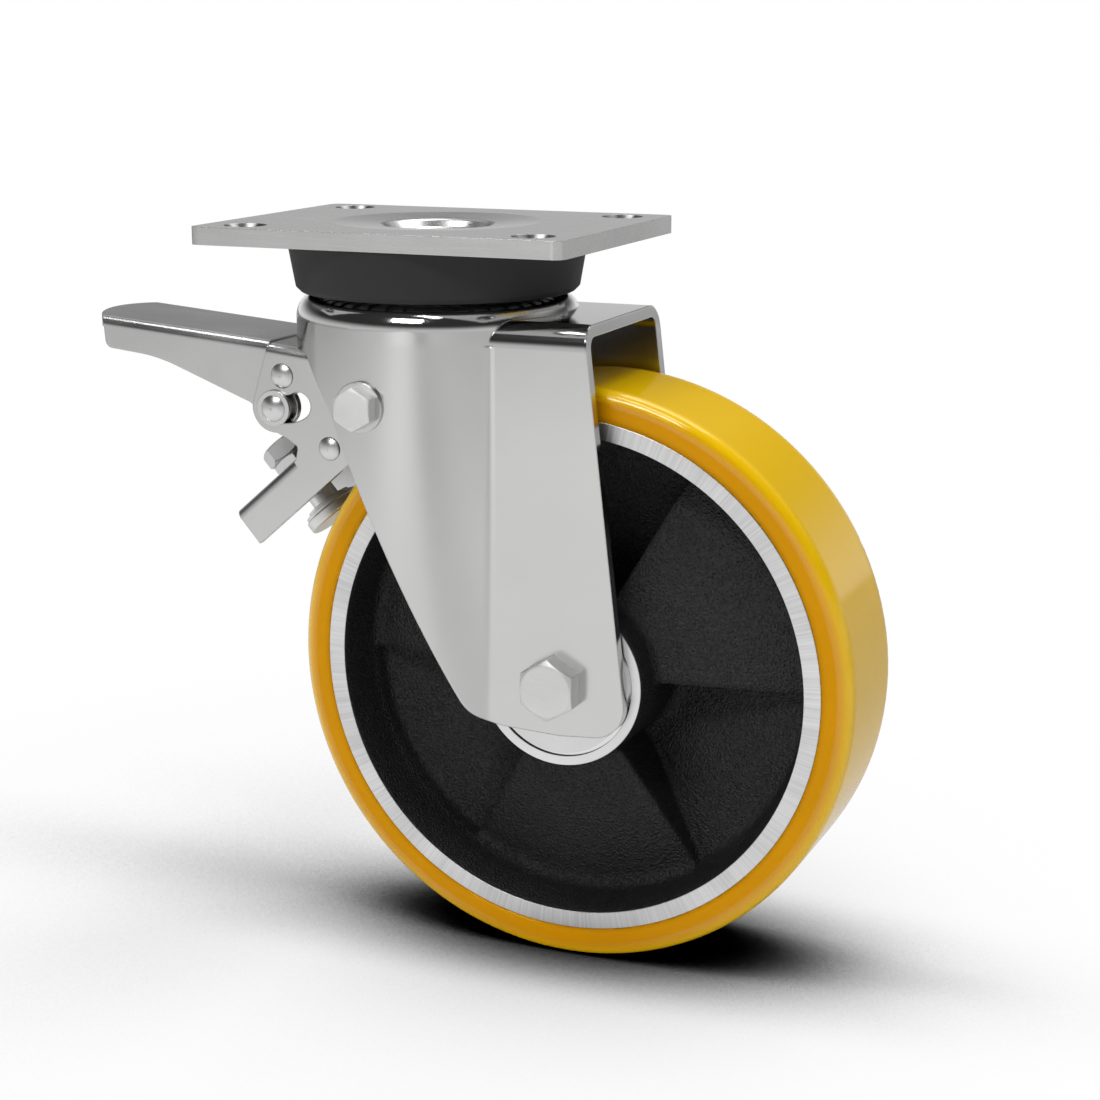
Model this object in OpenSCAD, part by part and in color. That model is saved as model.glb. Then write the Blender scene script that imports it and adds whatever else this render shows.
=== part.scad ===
/* [Overall] */
// Gap between the tread and the underside of the rear box
crown_gap = 17; // [16:0.5:30]
// Distance from the swivel axis back to the wheel axle
swivel_offset = 57.5; // [56:0.5:59]
// Radial running clearance of shafts, pins and balls
fit = 0.05; // [0.02:0.01:0.08]
// Side clearance between sheets that slide on each other
side_gap = 0.3; // [0.25:0.05:0.5]

/* [Top plate] */
// Length of the plate along the trailing direction
plate_l = 135; // [130:1:150]
// Width of the plate
plate_w = 105; // [104:1:120]
// Thickness of the plate
plate_t = 6; // [5:0.5:7]
// Corner radius of the plate
plate_corner_r = 4; // [2:0.5:8]
// Bolt hole spacing along the plate's length
hole_pitch_x = 105; // [100:1:108]
// Bolt hole spacing along the plate's width
hole_pitch_y = 80; // [78:1:82]
// Bolt hole diameter
hole_d = 11; // [9:0.5:12]
// Chamfer of the bolt holes
hole_chamfer = 1.8; // [0.5:0.1:2]
// Radius where the pressed dish leaves the flat of the plate
dish_rim_r = 36; // [32:1:40]
// Radius of the steep wall of the dish
dish_wall_r = 19.5; // [18.5:0.5:22]
// Radius of the flat floor of the dish
dish_floor_r = 16.5; // [14:0.5:17.5]
// Depth of the dish at the top of its steep wall
dish_lip = 1; // [0.5:0.1:1.5]
// Depth of the floor of the dish
dish_depth = 3.8; // [3:0.1:4.5]

/* [Swivel head] */
// Distance from the mounting face down to the top of the fork head
head_drop = 23.5; // [23:0.25:24.5]
// Outer diameter of the fork head
head_d = 98; // [97:0.5:99]
// Radius of the shoulder on the fork head
shoulder_r = 8.5; // [6:0.5:9]
// Kingpin diameter
kingpin_d = 20; // [16:1:22]
// Diameter of the balls in the upper row
upper_ball_d = 9; // [8:0.25:9.5]
// Number of balls in the upper row
upper_balls_n = 22; // [12:1:23]
// Pitch radius of the upper row
upper_pitch_r = 33.5; // [33:0.25:34]
// Diameter of the balls in the lower row
lower_ball_d = 7; // [6.5:0.25:7]
// Number of balls in the lower row
lower_balls_n = 16; // [10:1:17]
// Pitch radius of the lower row
lower_pitch_r = 20.5; // [20:0.25:21]
// Radial width of a ball race ring
race_w = 11; // [10:0.5:11.5]
// Depth of the groove that holds the balls
groove_depth = 2.5; // [1.5:0.1:2.7]
// Thickness of the ring pressed under the plate
upper_race_t = 6; // [5:0.25:6.5]
// Thickness of the lower ring and of the cone under the fork head
lower_race_t = 4; // [3.5:0.25:4.5]
// Outer diameter of the dust seal at the plate
seal_d_top = 103.4; // [102:0.2:104.4]
// Outer diameter of the dust seal above its lower lip
seal_d_low = 98; // [97:0.5:99]
// Wall thickness of the dust seal
seal_wall = 2.2; // [1.5:0.1:2.4]
// Number of teeth on the swivel lock ring
lock_teeth = 36; // [24:4:40]
// Height of the teeth on the swivel lock ring
lock_tooth_h = 3; // [2:0.25:3.5]

/* [Fork] */
// Sheet thickness of the fork
fork_t = 4; // [3.5:0.25:4]
// Outer width across the fork's cheeks
fork_w = 70; // [70:0.5:72]
// Distance from the mounting face down to the top of the rear box
box_drop = 29; // [28.5:0.25:30]
// Outer bend radius along the rear box
box_bend_r = 8; // [5:0.5:9]
// Distance from the swivel axis back to the end of the box
box_reach = 68; // [66:0.5:70]
// Radius of the hollow blend between head and cheek
blend_r = 6; // [3:0.5:8]
// Height of the apron's lower edge below the mounting face
apron_drop = 42.3; // [41:0.1:42.4]
// Distance from the axle back to the rear edge of the leg
leg_rear = 25; // [24:0.5:27]
// Distance from the axle down to the foot of the leg
leg_below = 17.3; // [16:0.5:20]
// Corner radius at the rear of the leg's foot
leg_rear_r = 11; // [6:0.5:13]
// Corner radius at the front of the leg's foot
leg_front_r = 16; // [8:0.5:18]

/* [Wheel] */
// Wheel diameter over the tread
wheel_d = 200; // [196:1:200]
// Wheel width over the tread
wheel_w = 50; // [46:1:52]
// Corner radius of the tread
tread_r = 4; // [2:0.5:6]
// Radial thickness of the tread
tread_t = 10.4; // [8:0.2:12]
// Radial width of the machined face of the rim
rim_face = 5.8; // [4:0.2:7]
// How far the inside of the rim closes in towards the web
rim_draft = 3.4; // [2:0.2:5]
// Width of the hub
hub_w = 60; // [58:0.5:60]
// Outer diameter of the hub at its machined face
hub_d = 58.8; // [57:0.2:64]
// Thickness of the web panels
web_t = 7; // [5:0.5:8]
// Height of a raised web panel over the middle plane at the hub
web_rise_hub = 15; // [12:0.5:18]
// Height of a raised web panel over the middle plane at the rim
web_rise_rim = 5.5; // [4.5:0.25:8]
// Number of web panels, raised and sunk in turn
web_panels = 6; // [4:2:8]
// Thickness of the wall between two panels
step_t = 5; // [4:0.5:8]
// Lean of the walls between the panels
step_draft = 6; // [2:0.5:10]
// Blend radius where the web meets the rim and the hub
web_blend_r = 5; // [2:0.5:5]

/* [Wheel bearings and axle] */
// Outer diameter of a wheel bearing
bearing_d = 52; // [50:0.5:52]
// Bore of a wheel bearing
bearing_bore = 25; // [22:0.5:26]
// Width of a wheel bearing
bearing_w = 15; // [12:0.5:16]
// Diameter of the wheel bearing's balls
bearing_ball_d = 7.9; // [6:0.1:8]
// Number of balls in a wheel bearing
bearing_balls_n = 9; // [7:1:11]
// Thickness of the caps between bearing and fork
cap_t = 1.8; // [1.2:0.1:2.4]
// Radial gap between a cap and the hub
cap_gap = 1.4; // [0.4:0.1:2]
// Axle bolt diameter
axle_d = 12; // [10:0.5:12]
// Width across the flats of the axle bolt
axle_af = 18.5; // [18:0.5:21]

/* [Brake] */
// Distance of the brake pivot in front of the swivel axis
pivot_x = 6.1; // [5:0.2:7]
// Distance of the brake pivot below the mounting face
pivot_drop = 57.5; // [57.5:0.25:59]
// Brake pivot bolt diameter
pivot_d = 8; // [7:0.5:8]
// Width across the flats of the brake pivot bolt
pivot_af = 13; // [12:0.5:14]
// Outer width of the pedal
pedal_w = 43; // [40:0.5:43]
// Sheet thickness of pedal and bracket
lever_t = 2.5; // [2:0.1:2.8]
// Outer bend radius of pedal and bracket
lever_bend_r = 3.5; // [3.2:0.1:5]
// Length of the pedal from its hinge to the middle of its tip
pedal_reach = 75.5; // [70:0.5:85]
// Upward slope of the pedal towards its tip
pedal_slope = 4.7; // [2:0.1:6]
// How far the pedal's tip bulges out
tip_bulge = 8; // [4:0.5:10]
// Height of the pedal's side at its tip
tip_side_h = 11.2; // [9:0.2:12]
// Distance of the pedal hinge in front of the brake pivot
hinge_dx = 42.8; // [42:0.2:43.4]
// Height of the pedal hinge over the brake pivot
hinge_dz = 4.3; // [3.6:0.1:4.6]
// Pedal hinge pin diameter
hinge_d = 6; // [5:0.5:7]
// Radius of the arc slot about the pedal hinge
slot_r = 11.8; // [11:0.2:12.4]
// Width of the arc slot
slot_w = 9.6; // [8:0.2:10]
// Angle that the pedal turns through
pedal_travel = 45; // [35:1:46]
// Angle of the slot pin below the hinge when the pedal is up
pin_angle = 105.7; // [104:0.5:108]
// Diameter of the washers on the slot pin
slot_washer_d = 12.6; // [12.4:0.2:14]
// Height of the domed rivet heads
rivet_h = 1.6; // [1:0.1:2.4]
// Adjusting screw diameter
screw_d = 10; // [8:0.5:10]
// Width across the flats of the adjusting screw and its nut
screw_af = 17; // [15:0.5:18]
// Diameter of the brake foot
foot_d = 22.4; // [18:0.4:23]
// Thickness of the brake foot
foot_t = 4; // [3:0.25:4.5]
// Gap between the brake foot and the tread when the pedal is up
foot_gap = 2.9; // [2.8:0.1:4]
// Diameter of the rivet heads on the bracket
rivet_head_d = 8.4; // [7:0.2:9]
// Diameter of the hinge pin's heads
hinge_head_d = 8.8; // [8:0.2:9.6]

/* [Hidden] */
$fn = 96;

// Places of the axles and pivots, measured from the middle of the mounting face
wheel_r = wheel_d / 2;
total_h = box_drop + fork_t + crown_gap + wheel_d;
axle = [swivel_offset, wheel_r - total_h];
pivot = [-pivot_x, -pivot_drop];
hinge = pivot + [-hinge_dx, hinge_dz];
tau = 0.01;

// Swivel head
head_r = head_d / 2;
head_z = -head_drop;
head_under = head_z - fork_t;
dish_under = -dish_depth - plate_t;
upper_ball_r = upper_ball_d / 2;
lower_ball_r = lower_ball_d / 2;
upper_ball_z = -plate_t - upper_race_t + groove_depth - upper_ball_r - fit;
head_race_top = upper_ball_z - upper_ball_r - fit + groove_depth;
lower_groove = groove_depth * 0.72;
lower_ball_z = head_under - lower_race_t + lower_groove - lower_ball_r - fit;
cone_top = lower_ball_z - lower_ball_r - fit + lower_groove;
cone_bottom = cone_top - lower_race_t - 1;
kingpin_washer_t = 2;
kingpin_nut_t = 7;
kingpin_nut_top = cone_bottom - kingpin_washer_t;
kingpin_end = kingpin_nut_top - kingpin_nut_t - 0.5;
lock_ring_in = upper_pitch_r + race_w / 2 + 1;
lock_ring_out = min(seal_d_top, seal_d_low) / 2 - seal_wall - 0.4;
lock_ring_low = -17;

// Fork
cheek_y = fork_w / 2;
cheek_in = cheek_y - fork_t;
box_z = -box_drop;
pawl_t = 3;
pawl_w = 18;
pawl_x = -lock_ring_in - 0.4 - pawl_t / 2;

// Wheel, along its axle
hub_half = hub_w / 2;
rim_r = wheel_r - tread_t;
rim_in = rim_r - rim_face;
rim_half = wheel_w / 2 + 0.2;
rim_web_r = rim_in - rim_draft;
hub_r = hub_d / 2;
bearing_r = bearing_d / 2;
bore_r = bearing_bore / 2;
bearing_face = cheek_in - cap_t;
bearing_y = bearing_face - bearing_w / 2;
bearing_pitch_r = (bearing_r + bore_r) / 2;
ring_wall = (bearing_r - bore_r) * 0.27;
axle_head_h = 7.5;
axle_nut_h = 10;
axle_washer_t = 2.5;

// Brake
pedal_y = pedal_w / 2;
bracket_in = pedal_y + side_gap;
bracket_y = bracket_in + lever_t;
pin_place = hinge + slot_r * [cos(pin_angle), -sin(pin_angle)];
slot_pin_r = slot_w / 2 - 0.3;
tie = pivot + [-24.8, -20.1];
tie_r = 3;
lobe_r = 7.4;
pin_lobe_r = 8.8;
tongue_w = 14.4;
tongue_a = 41;
tongue_end = 77.4;
tongue_web_start = 45.4;
screw_at = 58.5;
cam_reach = 18.5;
cam_w = 10;
pivot_bush_r = 6.3;
pivot_spacer_r = 8;
collar_y = head_r + 1.2;
foot_edge = on_tongue(screw_at, tongue_w) + turn2([foot_d / 2, 0], tongue_a);
foot_far = (foot_edge - axle) * turn2([0, 1], tongue_a);
foot_reach = foot_far - sqrt(pow(foot_far, 2) - pow(norm(foot_edge - axle), 2) + pow(wheel_r + foot_gap, 2));
screw_drop = foot_reach - lever_t - foot_t;
studs_y = bracket_y + 1.3;
bracket_top = hinge + [-5.4, 11];
bracket_slope = 6.2;
pedal_top = hinge + [-6.9, 11.5];
pedal_tip = pedal_top + pedal_reach * [-cos(pedal_slope), sin(pedal_slope)];

function unit(v) = v / norm(v);
function turn2(v, a) = [v[0] * cos(a) - v[1] * sin(a), v[0] * sin(a) + v[1] * cos(a)];
function cross2(a, b) = a[0] * b[1] - a[1] * b[0];
function half_angle(a, b, c) = acos(unit(a - b) * unit(c - b)) / 2;
function setback(a, b, c, r) = r / tan(half_angle(a, b, c));
function blend_centre(a, b, c, r) = b + unit(unit(a - b) + unit(c - b)) * r / sin(half_angle(a, b, c));
function before(p, i) = p[(i + len(p) - 1) % len(p)];
function after(p, i) = p[(i + 1) % len(p)];
function tangent_point(p, c, r) = p + sqrt(pow(norm(c - p), 2) - r * r) * turn2(unit(c - p), -asin(r / norm(c - p)));
function is_hollow(p, i) = cross2(p[i] - before(p, i), after(p, i) - p[i]) < 0;

// A polygon given counter-clockwise as [x, y, corner radius], with true arcs at its corners
module rounded_polygon(corners) {
    p = [for (c = corners) [c[0], c[1]]];
    n = len(p);
    difference() {
        union() {
            polygon([for (i = [0:n - 1])
                let (a = before(p, i), b = p[i], c = after(p, i), r = corners[i][2])
                each r > 0
                    ? [b + unit(a - b) * setback(a, b, c, r), b + unit(c - b) * setback(a, b, c, r)]
                    : [b]]);
            for (i = [0:n - 1])
                if (corners[i][2] > 0 && !is_hollow(p, i))
                    translate(blend_centre(before(p, i), p[i], after(p, i), corners[i][2]))
                        circle(r = corners[i][2]);
        }
        for (i = [0:n - 1])
            if (corners[i][2] > 0 && is_hollow(p, i))
                translate(blend_centre(before(p, i), p[i], after(p, i), corners[i][2]))
                    circle(r = corners[i][2]);
    }
}

// Turns a side view drawn as [x, z] into a slab from y0 to y1
module side_slab(y0, y1) {
    translate([0, y1, 0])
        rotate([90, 0, 0])
            linear_extrude(y1 - y0)
                children();
}

// A cylinder across the castor, from y0 to y1, at a place given as [x, z]
module cross_cylinder(at, r, y0, y1) {
    translate([at[0], y1, at[1]])
        rotate([90, 0, 0])
            cylinder(r = r, h = y1 - y0);
}

module cross_tube(at, r_out, r_in, y0, y1) {
    difference() {
        cross_cylinder(at, r_out, y0, y1);
        cross_cylinder(at, r_in, y0 - 1, y1 + 1);
    }
}

// Revolves a profile drawn as [radius, y] about an axle across the castor
module about_axle(at) {
    translate([at[0], 0, at[1]])
        rotate([-90, 0, 0])
            rotate_extrude()
                children();
}

// A hexagon prism with its far end, or both ends, turned to a cone, standing on z = 0
module hex_block(af, h, bottom_too = false) {
    corner_r = af / sqrt(3) + 0.2;
    turned_r = af * 0.475;
    fall = (corner_r - turned_r) * 0.577;
    intersection() {
        cylinder(r = af / sqrt(3), h = h, $fn = 6);
        rotate_extrude()
            polygon([
                [0, 0], [bottom_too ? turned_r : corner_r, 0], [corner_r, bottom_too ? fall : 0],
                [corner_r, h - fall], [turned_r, h], [0, h]
            ]);
    }
}

// A shallow domed rivet head standing on z = 0
module dome(r, h) {
    ball_r = (r * r + h * h) / (2 * h);
    intersection() {
        translate([0, 0, h - ball_r])
            sphere(r = ball_r);
        cylinder(r = r + 1, h = h + 1);
    }
}

// Points children that stand on z = 0 outwards at y, on either side
module face_out(at, y) {
    translate([at[0], y, at[1]])
        rotate([y < 0 ? 90 : -90, 0, 0])
            children();
}

module ring_of(n, r) {
    for (i = [0:n - 1])
        rotate([0, 0, 360 * i / n])
            translate([r, 0, 0])
                children();
}

// Swivel head

module dish_profile(sink) {
    rounded_polygon([
        [0, -dish_depth - sink, 0],
        [dish_floor_r + sink * 0.2, -dish_depth - sink, 1.5],
        [dish_wall_r + sink * 0.2, -dish_lip - sink, 2.5],
        [dish_rim_r + sink * 0.2, -sink, 0],
        [dish_rim_r + sink * 0.2, 1, 0],
        [0, 1, 0]
    ]);
}

module top_plate() {
    color("#b4b5b5")
    difference() {
        union() {
            translate([0, 0, -plate_t])
                linear_extrude(plate_t)
                    rounded_polygon([for (s = [[-1, -1], [1, -1], [1, 1], [-1, 1]])
                        [s[0] * plate_l / 2, s[1] * plate_w / 2, plate_corner_r]]);
            intersection() {
                rotate_extrude()
                    dish_profile(plate_t);
                translate([0, 0, -plate_t - dish_depth - 1])
                    cylinder(r = dish_rim_r + plate_t, h = dish_depth + 3);
            }
        }
        rotate_extrude()
            dish_profile(0);
        for (x = [-1, 1])
            for (y = [-1, 1])
                translate([x * hole_pitch_x / 2, y * hole_pitch_y / 2, 0]) {
                    translate([0, 0, -plate_t - 1])
                        cylinder(d = hole_d, h = plate_t + 2);
                    translate([0, 0, -hole_chamfer])
                        cylinder(d1 = hole_d, d2 = hole_d + 2 * hole_chamfer, h = hole_chamfer + tau);
                }
    }
}

module kingpin() {
    flange_t = 2.5;
    color("#9a9b9c")
    rotate_extrude()
        rounded_polygon([
            [0, kingpin_end, 0],
            [kingpin_d / 2 - 1, kingpin_end, 0],
            [kingpin_d / 2, kingpin_end + 1, 0],
            [kingpin_d / 2, dish_under - flange_t, 1],
            [dish_floor_r - 1, dish_under - flange_t, 0],
            [dish_floor_r - 1, dish_under, 0],
            [0, dish_under, 0]
        ]);
}

// A ring from z0 to z1 about the swivel axis, grooved for a row of balls
module race_ring(pitch_r, width, z0, z1, ball_z, ball_r) {
    rotate_extrude()
        difference() {
            translate([pitch_r - width / 2, z0])
                square([width, z1 - z0]);
            translate([pitch_r, ball_z])
                circle(r = ball_r + fit);
        }
}

module upper_race() {
    color("#8d8f91")
    difference() {
        race_ring(upper_pitch_r, race_w, -plate_t - upper_race_t, -plate_t, upper_ball_z, upper_ball_r);
        rotate_extrude()
            dish_profile(plate_t + fit);
    }
}

module upper_balls() {
    color("#d8dadc")
    ring_of(upper_balls_n, upper_pitch_r)
        translate([0, 0, upper_ball_z])
            sphere(r = upper_ball_r);
}

module swivel_lock_ring() {
    color("#85878a")
    difference() {
        translate([0, 0, lock_ring_low])
            difference() {
                cylinder(r = lock_ring_out, h = -plate_t - lock_ring_low);
                translate([0, 0, -1])
                    cylinder(r = lock_ring_in, h = -plate_t - lock_ring_low + 2);
            }
        ring_of(lock_teeth, (lock_ring_in + lock_ring_out) / 2)
            translate([-5, -lock_ring_in * 90 / lock_teeth * PI / 180, lock_ring_low - 1])
                cube([10, lock_ring_in * 180 / lock_teeth * PI / 180, lock_tooth_h + 1]);
    }
}

module dust_seal() {
    lip_z = head_z + 0.4;
    top_r = seal_d_top / 2;
    low_r = seal_d_low / 2;
    color("#2e2e2e")
    rotate_extrude()
        rounded_polygon([
            [low_r - seal_wall - 0.4, lip_z, 0],
            [low_r - 1.6, lip_z, 0.5],
            [low_r, lip_z + 1.6, 0.6],
            [top_r, -plate_t, 0],
            [top_r - seal_wall, -plate_t, 0],
            [low_r - seal_wall - 0.4, lip_z + 3, 0]
        ]);
}

module lower_cone() {
    color("#8d8f91")
    difference() {
        race_ring(lower_pitch_r, race_w, cone_bottom, cone_top, lower_ball_z, lower_ball_r);
        translate([0, 0, cone_bottom - 1])
            cylinder(r = kingpin_d / 2 + fit, h = cone_top - cone_bottom + 2);
    }
    color("#8d8f91")
    translate([0, 0, cone_bottom])
        difference() {
            cylinder(r = lower_pitch_r - race_w / 2 + 0.5, h = cone_top - cone_bottom);
            translate([0, 0, -1])
                cylinder(r = kingpin_d / 2 + fit, h = cone_top - cone_bottom + 2);
        }
}

module kingpin_washer() {
    color("#c4c5c6")
    translate([0, 0, kingpin_nut_top])
        difference() {
            cylinder(r = kingpin_d / 2 + 8, h = kingpin_washer_t);
            translate([0, 0, -1])
                cylinder(r = kingpin_d / 2 + fit, h = kingpin_washer_t + 2);
        }
}

module kingpin_nut() {
    color("#c4c5c6")
    translate([0, 0, kingpin_nut_top - kingpin_nut_t])
        difference() {
            hex_block(kingpin_d * 1.5, kingpin_nut_t, true);
            translate([0, 0, -1])
                cylinder(r = kingpin_d / 2 + fit, h = kingpin_nut_t + 2);
        }
}

module lower_balls() {
    color("#d8dadc")
    ring_of(lower_balls_n, lower_pitch_r)
        translate([0, 0, lower_ball_z])
            sphere(r = lower_ball_r);
}

module head_race() {
    color("#8d8f91")
    race_ring(upper_pitch_r, race_w, head_z, head_race_top, upper_ball_z, upper_ball_r);
}

module head_lower_race() {
    color("#8d8f91")
    race_ring(lower_pitch_r, race_w, head_under - lower_race_t, head_under, lower_ball_z, lower_ball_r);
}

// Fork

// Side view of the fork: apron, leg and rear edge of the box
module fork_outline() {
    foot_z = axle[1] - leg_below;
    rounded_polygon([
        [-head_r - 5, 5, 0],
        [-head_r - 5, -apron_drop, 0],
        [-head_r * 0.67, -apron_drop, 0],
        [-19.5, -60, 0],
        [axle[0] - 27.5, foot_z + 1.5, leg_front_r],
        [axle[0] + 2, foot_z, 0],
        [axle[0] + leg_rear + 1.2, foot_z + 1.5, leg_rear_r],
        [box_reach, box_z, 0],
        [box_reach, 5, 0]
    ]);
}

// Plan of the hollow blend between the round head and one flat cheek
module blend_plan(r_head, y_cheek, r) {
    cx = sqrt(pow(r_head + r, 2) - pow(y_cheek + r, 2));
    touch = [cx, y_cheek + r] * r_head / (r_head + r);
    difference() {
        polygon([touch, [cx, y_cheek + r], [cx, y_cheek - 1], touch - [1, 3]]);
        translate([cx, y_cheek + r])
            circle(r = r);
    }
}

// The space that the fork's sheet wraps, grown outwards from its inner faces
module fork_space(grow, reach_down) {
    r = head_r - fork_t + grow;
    y = cheek_in + grow;
    bend = max(box_bend_r - fork_t + grow, 1);
    rotate_extrude()
        rounded_polygon([
            [0, -reach_down, 0],
            [r, -reach_down, 0],
            [r, head_under + grow, max(shoulder_r - fork_t + grow, 1)],
            [0, head_under + grow, 0]
        ]);
    rotate([90, 0, 90])
        linear_extrude(box_reach + 60)
            rounded_polygon([
                [-y, -reach_down, 0],
                [y, -reach_down, 0],
                [y, box_z - fork_t + grow, bend],
                [-y, box_z - fork_t + grow, bend]
            ]);
    for (side = [0, 1])
        mirror([0, side, 0])
            translate([0, 0, -reach_down])
                linear_extrude(reach_down + box_z - bend)
                    blend_plan(r, y, blend_r + fork_t - grow);
}

module fork() {
    depth = total_h;
    color("#c3c3c2")
    difference() {
        intersection() {
            fork_space(fork_t, depth);
            side_slab(-head_r - 2, head_r + 2)
                fork_outline();
        }
        fork_space(0, depth + 1);
        translate([0, 0, head_under - 1])
            cylinder(r = lower_pitch_r - race_w / 2, h = fork_t + 2);
        translate([pawl_x - pawl_t / 2 - side_gap, -pawl_w / 2 - side_gap, head_under - 5])
            cube([pawl_t + 2 * side_gap, pawl_w + 2 * side_gap, fork_t + 10]);
        cross_cylinder(axle, axle_d / 2 + fit, -head_r, head_r);
        cross_cylinder(pivot, pivot_d / 2 + fit, -head_r - 1, head_r + 1);
    }
}

module axle_bolt() {
    color("#cfcfcd") {
        face_out(axle, -cheek_y)
            rotate([0, 0, 30])
                hex_block(axle_af, axle_head_h);
        cross_cylinder(axle, axle_d / 2, -cheek_y - tau, cheek_y + axle_washer_t + axle_nut_h + 2);
    }
}

module axle_washer() {
    color("#cfcfcd")
    cross_tube(axle, axle_d, axle_d / 2 + fit, cheek_y, cheek_y + axle_washer_t);
}

module axle_nut() {
    color("#cfcfcd")
    difference() {
        face_out(axle, cheek_y + axle_washer_t)
            hex_block(axle_af, axle_nut_h);
        cross_cylinder(axle, axle_d / 2 + fit, cheek_y, cheek_y + 20);
    }
}

module axle_sleeve() {
    color("#a5a6a8")
    cross_tube(axle, bore_r - fit, axle_d / 2 + fit, -bearing_face, bearing_face);
}

module bearing_spacer() {
    inner = bearing_face - bearing_w;
    color("#a5a6a8")
    cross_tube(axle, bore_r + 3, bore_r + fit, -inner, inner);
}

module bearing_caps() {
    color("#c6c6c5")
    for (side = [-1, 1])
        cross_tube(axle, bearing_r - cap_gap, axle_d / 2 + fit,
            side < 0 ? -cheek_in : bearing_face, side < 0 ? -bearing_face : cheek_in);
}

// One bearing ring between two radii, grooved for the balls
module bearing_ring(side, r_in, r_out) {
    about_axle(axle)
        difference() {
            translate([r_in, side * bearing_y - bearing_w / 2])
                square([r_out - r_in, bearing_w]);
            translate([bearing_pitch_r, side * bearing_y])
                circle(r = bearing_ball_d / 2 + fit);
        }
}

module bearing_inner_rings() {
    color("#b9babb")
    for (side = [-1, 1])
        bearing_ring(side, bore_r, bore_r + ring_wall);
}

module bearing_outer_rings() {
    color("#b9babb")
    for (side = [-1, 1])
        bearing_ring(side, bearing_r - ring_wall, bearing_r - fit);
}

module bearing_balls() {
    color("#d8dadc")
    for (side = [-1, 1])
        translate([axle[0], side * bearing_y, axle[1]])
            rotate([90, 0, 0])
                ring_of(bearing_balls_n, bearing_pitch_r)
                    sphere(r = bearing_ball_d / 2);
}

module bearing_shields() {
    shield_t = 0.8;
    r_in = bore_r + ring_wall + side_gap;
    color("#c6c6c5")
    for (side = [-1, 1])
        for (face = [-1, 1])
            about_axle(axle)
                translate([r_in, side * bearing_y + face * (bearing_w / 2 - shield_t) - shield_t / 2])
                    square([bearing_r - ring_wall - r_in, shield_t]);
}

module brake_pivot_bolt() {
    color("#cfcfcd") {
        face_out(pivot, -collar_y)
            rotate([0, 0, 30])
                hex_block(pivot_af, 5.3);
        cross_cylinder(pivot, pivot_d / 2, -collar_y - tau, collar_y + 8.5);
    }
}

// Collars that seat the pivot bolt's head and nut on the round wall of the fork
module pivot_collars() {
    color("#c3c3c2")
    for (side = [0, 1])
        mirror([0, side, 0])
            difference() {
                cross_tube(pivot, pivot_af * 0.66, pivot_d / 2 + fit, -collar_y, -head_r + 5);
                translate([0, 0, -pivot_drop - pivot_af])
                    cylinder(r = head_r, h = 2 * pivot_af);
            }
}

module brake_pivot_nut() {
    color("#cfcfcd")
    difference() {
        face_out(pivot, collar_y)
            hex_block(pivot_af, 6.5);
        cross_cylinder(pivot, pivot_d / 2 + fit, collar_y - 1, collar_y + 10);
    }
}

module pivot_spacers() {
    color("#a5a6a8")
    for (side = [0, 1])
        mirror([0, side, 0])
            difference() {
                cross_tube(pivot, pivot_spacer_r, pivot_d / 2 + fit, -head_r, -bracket_y - side_gap);
                translate([0, 0, -pivot_drop - pivot_spacer_r - 1])
                    difference() {
                        translate([-head_r, -head_r - 1, 0])
                            cube([head_d, head_r - bracket_y + 1, 2 * pivot_spacer_r + 2]);
                        translate([0, 0, -1])
                            cylinder(r = head_r - fork_t, h = 2 * pivot_spacer_r + 4);
                    }
            }
}

// Plate that slides up through the fork head into the toothed ring
module lock_pawl() {
    pawl_top = lock_ring_low - 0.6;
    pawl_low = -42;
    tooth_w = lock_ring_in * 180 / lock_teeth * PI / 180 - 0.8;
    pitch = 360 / lock_teeth;
    color("#8d8f91") {
        translate([pawl_x - pawl_t / 2, -pawl_w / 2, pawl_low])
            cube([pawl_t, pawl_w, pawl_top - pawl_low - lock_tooth_h + 0.4]);
        for (i = [-1, 0, 1])
            translate([pawl_x - pawl_t / 2, -pawl_x * sin(pitch * i) - tooth_w / 2, pawl_low + 1])
                cube([pawl_t, tooth_w, pawl_top - pawl_low - 1]);
    }
}

// Wheel

// Half section of the wheel centre before its pockets are cut
module core_profile() {
    seat = bearing_face - bearing_w;
    rim_blend_r = web_blend_r - 1;
    rounded_polygon([
        [bearing_r, -hub_half, 0],
        [hub_r, -hub_half, 0.6],
        [hub_r, -web_rise_hub, web_blend_r],
        [rim_web_r, -web_rise_rim, rim_blend_r],
        [rim_in, -rim_half, 0],
        [rim_r, -rim_half, 0],
        [rim_r, rim_half, 0],
        [rim_in, rim_half, 0],
        [rim_web_r, web_rise_rim, rim_blend_r],
        [hub_r, web_rise_hub, web_blend_r],
        [hub_r, hub_half, 0.6],
        [bearing_r, hub_half, 0],
        [bearing_r, seat, 0],
        [bearing_r - 3, seat, 0],
        [bearing_r - 3, -seat, 0],
        [bearing_r, -seat, 0]
    ]);
}

// Half section of the pocket over one panel that lies back
module pocket_profile() {
    inset = 0.4;
    lean = rim_draft / (rim_half - web_rise_rim);
    floor_rim = web_t - web_rise_rim;
    top = hub_half + 1;
    rounded_polygon([
        [hub_r + inset, web_t - web_rise_hub, web_blend_r - 1],
        [rim_web_r - inset + (floor_rim - web_rise_rim) * lean, floor_rim, web_blend_r - 2],
        [rim_web_r - inset + (top - web_rise_rim) * lean, top, 0],
        [hub_r + inset, top, 0]
    ]);
}

// The space between two step walls, about the x axis
module pocket_wedge() {
    reach = wheel_r;
    intersection_for (side = [0, 1])
        mirror([0, side, 0])
            rotate([0, 0, 180 / web_panels])
                translate([0, -step_t / 2, 0])
                    rotate([-step_draft, 0, 0])
                        translate([0, -reach, -reach])
                            cube([reach, reach, 2 * reach]);
}

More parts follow.
